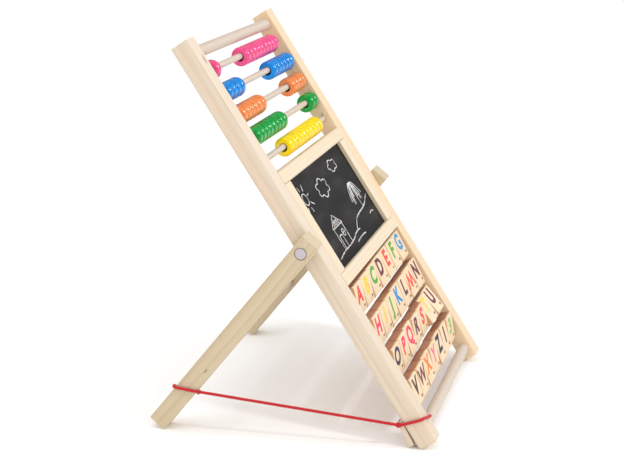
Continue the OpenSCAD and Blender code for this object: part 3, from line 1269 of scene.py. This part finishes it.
@dataclass
class LetterBlocks:
    """The four rows of turning blocks, each with a letter in front and a plain figure behind."""

    timber: BlockTimber = BlockTimber(
        Timber("EAD3B2", "C79C68", "E3C193", ring_gap=2.6 * MM, ring_share=0.3, warm_share=0.55)
    )
    arris: float = 0.5 * MM
    letter_size: float = 22.5 * MM
    boldness: float = 0.9 * MM
    zigzag_boldness: float = 0.55 * MM
    zigzags: str = "mw"
    ink_depth: float = 0.12 * MM
    letter_up: float = 3.2 * MM
    letter_left: float = 0.6 * MM
    figure_radius: float = 7.5 * MM
    figure_sides: tuple = (32, 3, 4, 6)
    dashes: int = 3
    dash_x: float = 0.24
    dash_z: float = -0.31
    dash_gap: float = 1.7 * MM
    dash_width: float = 0.8 * MM
    dash_height: tuple = (1.4 * MM, 3.0 * MM)
    dash_tilt: float = 0.5
    inks: tuple = (
        ("a", Ink.RED), ("b", Ink.YELLOW), ("c", Ink.GREEN), ("d", Ink.PLUM), ("e", Ink.RED),
        ("f", Ink.GREEN), ("g", Ink.SKY), ("h", Ink.ROSE), ("i", Ink.YELLOW), ("j", Ink.GREEN),
        ("k", Ink.BLUE), ("l", Ink.PLUM), ("m", Ink.RED), ("n", Ink.PLUM), ("o", Ink.NAVY),
        ("p", Ink.ROSE), ("q", Ink.ROSE), ("r", Ink.PLUM), ("s", Ink.RED), ("t", Ink.YELLOW),
        ("u", Ink.PLUM), ("v", Ink.BROWN), ("w", Ink.PLUM), ("x", Ink.ORANGE), ("y", Ink.PINK),
        ("z", Ink.NAVY), ("1", Ink.PLUM), ("3", Ink.LIME),
    )

    @staticmethod
    def pose(node: str) -> Matrix:
        """Finds how a block stands from the widest face of its CAD node.

        Args:
            node: The node's name.

        Returns:
            The matrix from the block's own space, centred, with y to the rear and z up it.
        """
        widest = max(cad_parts[node].data.polygons, key=lambda face: face.area)
        rear = Vector(widest.normal)
        if rear.y < 0:
            rear.negate()
        across = Vector((1, 0, 0))
        turn = Matrix((across, rear, across.cross(rear))).transposed().to_4x4()
        return Matrix.Translation(middle(node)) @ turn

    def letter(self, character: str) -> bpy.types.Mesh:
        """A printed character, centred, facing +Z and a little proud on both sides. An M is a W
        turned over, because its own outline breaks up when it is made bolder."""
        text = bpy.data.curves.new("letter", "FONT")
        text.body = "W" if character in self.zigzags else character.upper()
        text.align_x = "CENTER"
        text.align_y = "CENTER"
        text.size = self.letter_size
        text.offset = self.zigzag_boldness if character in self.zigzags else self.boldness
        text.extrude = self.ink_depth
        text.resolution_u = 6
        mesh = mesh_of(text)
        if character == "m":
            mesh.transform(Matrix.Rotation(math.pi, 4, "Z"))
        return mesh

    def figure(self, sides: int) -> Shape:
        """A plain figure with that many equal sides, as thick as the ink."""
        shape = Shape()
        radius = self.figure_radius
        made = bmesh.ops.create_circle(shape.bm, cap_ends=True, radius=radius, segments=sides)
        faces = list({face for vertex in made["verts"] for face in vertex.link_faces})
        raised = bmesh.ops.extrude_face_region(shape.bm, geom=faces)["geom"]
        top = [item for item in raised if isinstance(item, bmesh.types.BMVert)]
        bmesh.ops.translate(shape.bm, verts=top, vec=(0, 0, self.ink_depth * 2))
        bmesh.ops.recalc_face_normals(shape.bm, faces=shape.bm.faces)
        return shape

    def tick(self, width: float, height: float) -> Shape:
        """A small printed dash."""
        shape = Shape()
        size = Matrix.Diagonal((width, height, self.ink_depth * 2, 1))
        bmesh.ops.create_cube(shape.bm, size=1, matrix=size)
        return shape

    def block(
        self, number: int, mark: str, letter_ink: bpy.types.Material, small_ink: bpy.types.Material
    ) -> bpy.types.Object:
        """Makes one block.

        Args:
            number: Its place in the rows.
            mark: Its letter or number.
            letter_ink: The ink of the letter and of the figure.
            small_ink: The ink of the small dashes.

        Returns:
            The block.
        """
        node = f"block_{mark}"
        pose = self.pose(node)
        low, high = extents(node, pose)
        size = high - low
        wood = self.timber.material(f"{node}_timber", pose, size, 100 + number)
        shape = Shape.copy_of(node).soften(self.arris)
        upright = Matrix.Rotation(math.pi / 2, 4, "X")
        front = pose @ Matrix.Translation((0, -size.y / 2, 0)) @ upright
        rear = pose @ Matrix.Translation((0, size.y / 2, 0)) @ Matrix.Rotation(math.pi, 4, "Z") @ upright
        upper = Matrix.Translation((-self.letter_left, self.letter_up, 0))
        shape.add_mesh(self.letter(mark), front @ upper, 1)
        chance = random.Random(number)
        for dash in range(self.dashes):
            across = size.x * self.dash_x + dash * self.dash_gap
            place = Matrix.Translation((across, size.z * self.dash_z, 0))
            tilt = Matrix.Rotation(chance.uniform(-self.dash_tilt, self.dash_tilt), 4, "Z")
            small = self.tick(self.dash_width, chance.uniform(*self.dash_height))
            shape.add_shape(small, front @ place @ tilt, 2)
        sides = self.figure_sides[number % len(self.figure_sides)]
        sunk = Matrix.Translation((0, 0, -self.ink_depth))
        shape.add_shape(self.figure(sides), rear @ sunk, 1)
        return shape.piece(f"{node}_printed", [wood, letter_ink, small_ink], "block", node, [node])

    def build(self) -> list[bpy.types.Object]:
        """Makes every block.

        Returns:
            The blocks.
        """
        inks = {ink: PrintInk(ink.value).material(f"{ink.name.lower()}_ink") for ink in Ink}
        return [
            self.block(number, mark, inks[ink], inks[Ink.BROWN])
            for number, (mark, ink) in enumerate(self.inks)
        ]


@dataclass(frozen=True)
class Lamp:
    """One soft box: its name, where it hangs, the width of its square face and its power in watts. One
    that is for gloss only shows as a highlight and lights nothing else."""

    name: str
    at: tuple
    width: float
    power: float
    gloss_only: bool = False

    def hang(self, target: Vector) -> None:
        """Hangs the lamp so that it faces a point."""
        light = bpy.data.lights.new(self.name, "AREA")
        light.size = self.width
        light.energy = self.power
        lamp = bpy.data.objects.new(self.name, light)
        lamp.visible_diffuse = not self.gloss_only
        lamp.location = self.at
        lamp.rotation_euler = (target - Vector(self.at)).to_track_quat("-Z", "Y").to_euler()
        bpy.context.scene.collection.objects.link(lamp)


@dataclass
class Studio:
    """The pale floor, the soft lights and the camera, whose turn is in degrees. Gloss mirrors only a
    share of the sky."""

    floor_size: float = 30.0
    paper: str = "FFFFFF"
    paper_shade: str = "FCFCFC"
    lamps: tuple = (
        Lamp("key", (-0.7, -1.9, 1.7), 0.2, 15), Lamp("top", (-0.6, 0.2, 2.2), 1.2, 8),
        Lamp("spark", (1.5, -1.5, 1.25), 0.6, 32, gloss_only=True),
    )
    lit_height: float = 0.18
    camera_at: tuple = (-1.1373, -0.3372, 0.5179)
    camera_turn: tuple = (73.462, 1.147, -73.236)
    lens: float = 73.16
    mirrored: float = 0.2

    def floor(self) -> bpy.types.Object:
        """Lays the floor."""
        shape = Shape()
        bmesh.ops.create_grid(shape.bm, x_segments=1, y_segments=1, size=self.floor_size / 2)
        nodes = Nodes.of_material("floor_paper")
        fibre = nodes.noise(nodes.place(), 300)
        colour = nodes.mix(fibre, tint(self.paper), tint(self.paper_shade))
        nodes.feed(nodes.shader, {"Specular IOR Level": 0.0})
        paper = nodes.surface(fibre, 0.02 * MM, Base_Color=colour, Roughness=0.9)
        floor = shape.piece("floor", [paper])
        return floor

    def sky(self) -> None:
        """Makes the white sky, dimmer for what mirrors it."""
        world = bpy.data.worlds.new("studio")
        nodes = Nodes(world, "Background")
        glossy = nodes.add("ShaderNodeLightPath", {}, {}, "Is Glossy Ray")
        strength = glossy * (self.mirrored - 1) + 1
        nodes.feed(nodes.shader, {"Color": (1, 1, 1, 1), "Strength": strength})
        bpy.context.scene.world = world

    def build(self) -> list[bpy.types.Object]:
        """Sets up the room.

        Returns:
            The floor, alone.
        """
        scene = bpy.context.scene
        scene.view_settings.view_transform = "Standard"
        self.sky()
        for lamp in self.lamps:
            lamp.hang(Vector((0, 0, self.lit_height)))
        camera = bpy.data.objects.new("camera", bpy.data.cameras.new("camera"))
        camera.data.lens = self.lens
        camera.location = self.camera_at
        camera.rotation_euler = Euler([math.radians(angle) for angle in self.camera_turn])
        scene.collection.objects.link(camera)
        scene.camera = camera
        return [self.floor()]


def main() -> None:
    """Builds every sub-assembly in order."""
    logging.basicConfig(level=logging.INFO, format="%(message)s")
    stance = Stance.from_frame()
    assemblies = (
        Studio(), StayCord(stance), Carpentry(stance), BoardPanel(stance), Abacus(), LetterBlocks()
    )
    for assembly in assemblies:
        for piece in assembly.build():
            LOG.info("%s: %s, %d faces", type(assembly).__name__, piece.name, len(piece.data.polygons))


if __name__ == "__main__":
    main()
